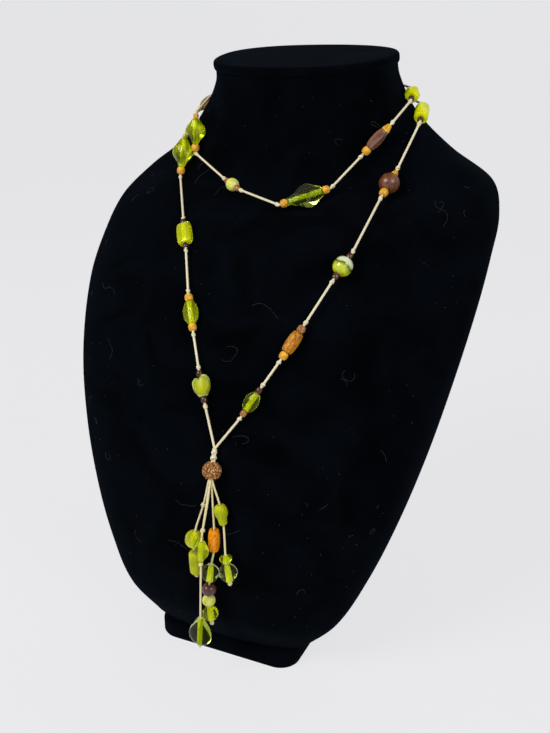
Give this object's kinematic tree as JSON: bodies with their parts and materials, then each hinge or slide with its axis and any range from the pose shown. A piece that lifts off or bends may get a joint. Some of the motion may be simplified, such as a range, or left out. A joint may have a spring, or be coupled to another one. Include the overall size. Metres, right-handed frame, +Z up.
{
  "type": "beaded necklace on neck bust",
  "caption": "Long knotted cord necklace of glass and wood beads, worn twice round a plain velvet neck bust, with a beaded tassel hanging from its knot.",
  "frame": {"origin": "centre of the plinth's flat underside, where the bust stands", "axes": "+Z up, -Y the front of the bust, +X to the right as seen from the front"},
  "size_m": [0.2182, 0.177, 0.3045],
  "materials": {
    "olive_glass": "polished yellow-green glass",
    "clear_glass": "polished clear glass with a green tint",
    "milky_glass": "milky pale green glass",
    "dark_wood": "polished dark brown",
    "red_wood": "lacquered red-brown",
    "orange_wood": "satin orange-brown",
    "sandy_wood": "rough, speckled sandy brown",
    "waxed_cord": "twisted waxed cotton, natural",
    "tassel_cord": "thin twisted waxed cotton, straw yellow",
    "velvet": "near-black navy velvet flock"
  },
  "bodies": {
    "root": {"bead_heart": "olive_glass", "bead_oval_left": "olive_glass", "bead_pillow": "olive_glass", "bead_lozenge_outer": "olive_glass", "bead_barrel_back": "dark_wood", "bead_pebble": "olive_glass", "bead_barrel": "dark_wood", "bead_lozenge_front": "olive_glass", "bead_green_round": "milky_glass", "bead_lozenge_inner": "olive_glass", "bead_ridged": "olive_glass", "bead_red_round": "red_wood", "bead_swirl": "milky_glass", "bead_wood_tube": "orange_wood", "bead_oval_right": "olive_glass", "bead_pendant": "sandy_wood", "bead_drop_round": "clear_glass", "bead_drop_tube": "olive_glass", "bead_drop_diamond": "clear_glass", "bead_drop_large": "clear_glass", "bead_drop_orange": "orange_wood", "bead_drop_clear": "clear_glass", "bead_drop_purple": "dark_wood", "bead_drop_milky": "milky_glass", "bead_drop_ribbed": "clear_glass", "bead_drop_pear": "olive_glass", "bead_drop_disc": "clear_glass", "bead_drop_ball": "clear_glass", "loop_cord": "waxed_cord", "tassel_cords": "tassel_cord", "bust_body": "velvet", "neck_cap": "velvet", "plinth": "velvet"}
  },
  "joints": []
}
